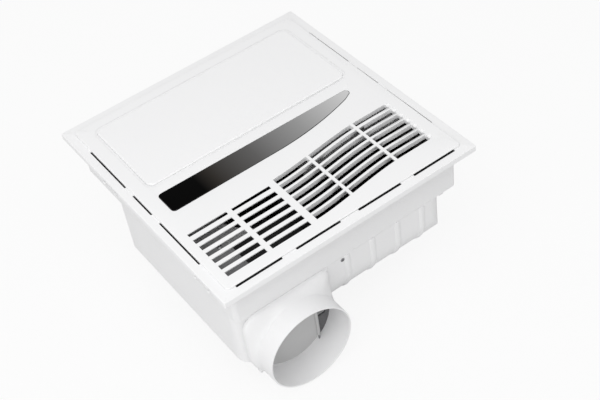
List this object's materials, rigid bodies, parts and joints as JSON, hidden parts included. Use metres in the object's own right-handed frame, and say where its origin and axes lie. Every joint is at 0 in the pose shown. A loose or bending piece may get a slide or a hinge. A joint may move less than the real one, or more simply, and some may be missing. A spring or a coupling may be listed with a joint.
{
  "type": "ceiling mounted fan heater",
  "caption": "Square ceiling fan heater with a light window, a wavy louvred grille, a dark trim blade, a deep fluted blower casing and a round duct spigot with a draught flap.",
  "frame": {"origin": "middle of the ceiling plane, on which the face panel's rim and the housing's flange lie", "axes": "+Z out of the face, which points down into the room when it is installed; +X to the right along the grille; +Y towards the light window"},
  "size_m": [0.3336, 0.3618, 0.1736],
  "materials": {
    "white_gloss_plastic": "smooth moulded plastic with a soft gloss",
    "white_plastic": "fine-textured moulded plastic",
    "diffuser_plastic": "milky light diffuser",
    "smoked_trim": "glossy trim fading from black to silver grey",
    "white_sheet_steel": "white powder-coated sheet steel",
    "white_board": "white solder mask",
    "grey_plastic": "plain grey moulded plastic",
    "dark_plastic": "black moulded plastic",
    "ivory_plastic": "ivory moulded plastic",
    "zinc_steel": "zinc-plated steel",
    "spring_steel": "bare spring steel",
    "lamination_steel": "stacked steel laminations",
    "copper_wire": "enamelled copper wire",
    "grey_painted_steel": "grey painted sheet steel",
    "black_sheet_steel": "matt black painted sheet steel",
    "black_rubber": "black rubber",
    "black_foam": "closed-cell foam seal",
    "heater_aluminium": "thin pressed aluminium fins under a black heat-proof coat",
    "ceramic_board": "dark mica insulating board",
    "green_board": "green circuit board with parts"
  },
  "bodies": {
    "housing": {"face_panel": "white_gloss_plastic", "light_diffuser": "diffuser_plastic", "accent_strip": "smoked_trim", "light_tray": "white_sheet_steel", "light_board": "white_board", "light_driver": "white_plastic", "main_housing": "white_plastic", "blower_casing": "white_plastic", "outlet_duct": "white_plastic", "flap_pin": "zinc_steel", "inlet_ring": "dark_plastic", "motor_stator": "lamination_steel", "motor_windings": "copper_wire", "motor_body": "grey_painted_steel", "motor_bearings": "zinc_steel", "motor_mounts": "black_rubber", "motor_dome": "grey_painted_steel", "damper_motor": "zinc_steel", "heater_duct": "black_sheet_steel", "heater_elements": "heater_aluminium", "heater_end_caps": "ceramic_board", "thermostat": "ceramic_board", "thermal_fuse": "zinc_steel", "duct_cover": "grey_painted_steel", "control_box": "white_plastic", "control_lid": "white_plastic", "control_board": "green_board", "run_capacitor": "dark_plastic", "terminal_block": "ivory_plastic", "cable_grommet": "black_rubber", "panel_clips": "spring_steel", "casing_screws": "zinc_steel", "duct_screws": "zinc_steel", "small_screws": "zinc_steel"},
    "fan": {"impeller": "dark_plastic", "impeller_nut": "zinc_steel", "motor_shaft": "zinc_steel", "motor_rotor": "lamination_steel"},
    "damper": {"changeover_damper": "grey_plastic", "damper_seals": "black_foam"},
    "flap": {"draught_flap": "grey_plastic", "flap_spring": "zinc_steel"}
  },
  "joints": [
    {"name": "impeller_spin", "type": "hinge", "parent": "housing", "child": "fan", "pos_m": [-0.0248, -0.01151, -0.09], "axis": [0, 0, 1], "continuous": true},
    {"name": "damper_turn", "type": "hinge", "parent": "housing", "child": "damper", "pos_m": [-0.09235, -0.1423, -0.062], "axis": [1, 0, 0], "range_deg": [0, 90]},
    {"name": "flap_swing", "type": "hinge", "parent": "housing", "child": "flap", "pos_m": [-0.05794, -0.1578, -0.1077], "axis": [0, 0, 1], "range_deg": [0, 60], "stiffness_Nm_per_rad": 0.02, "springref_deg": -17.19}
  ]
}
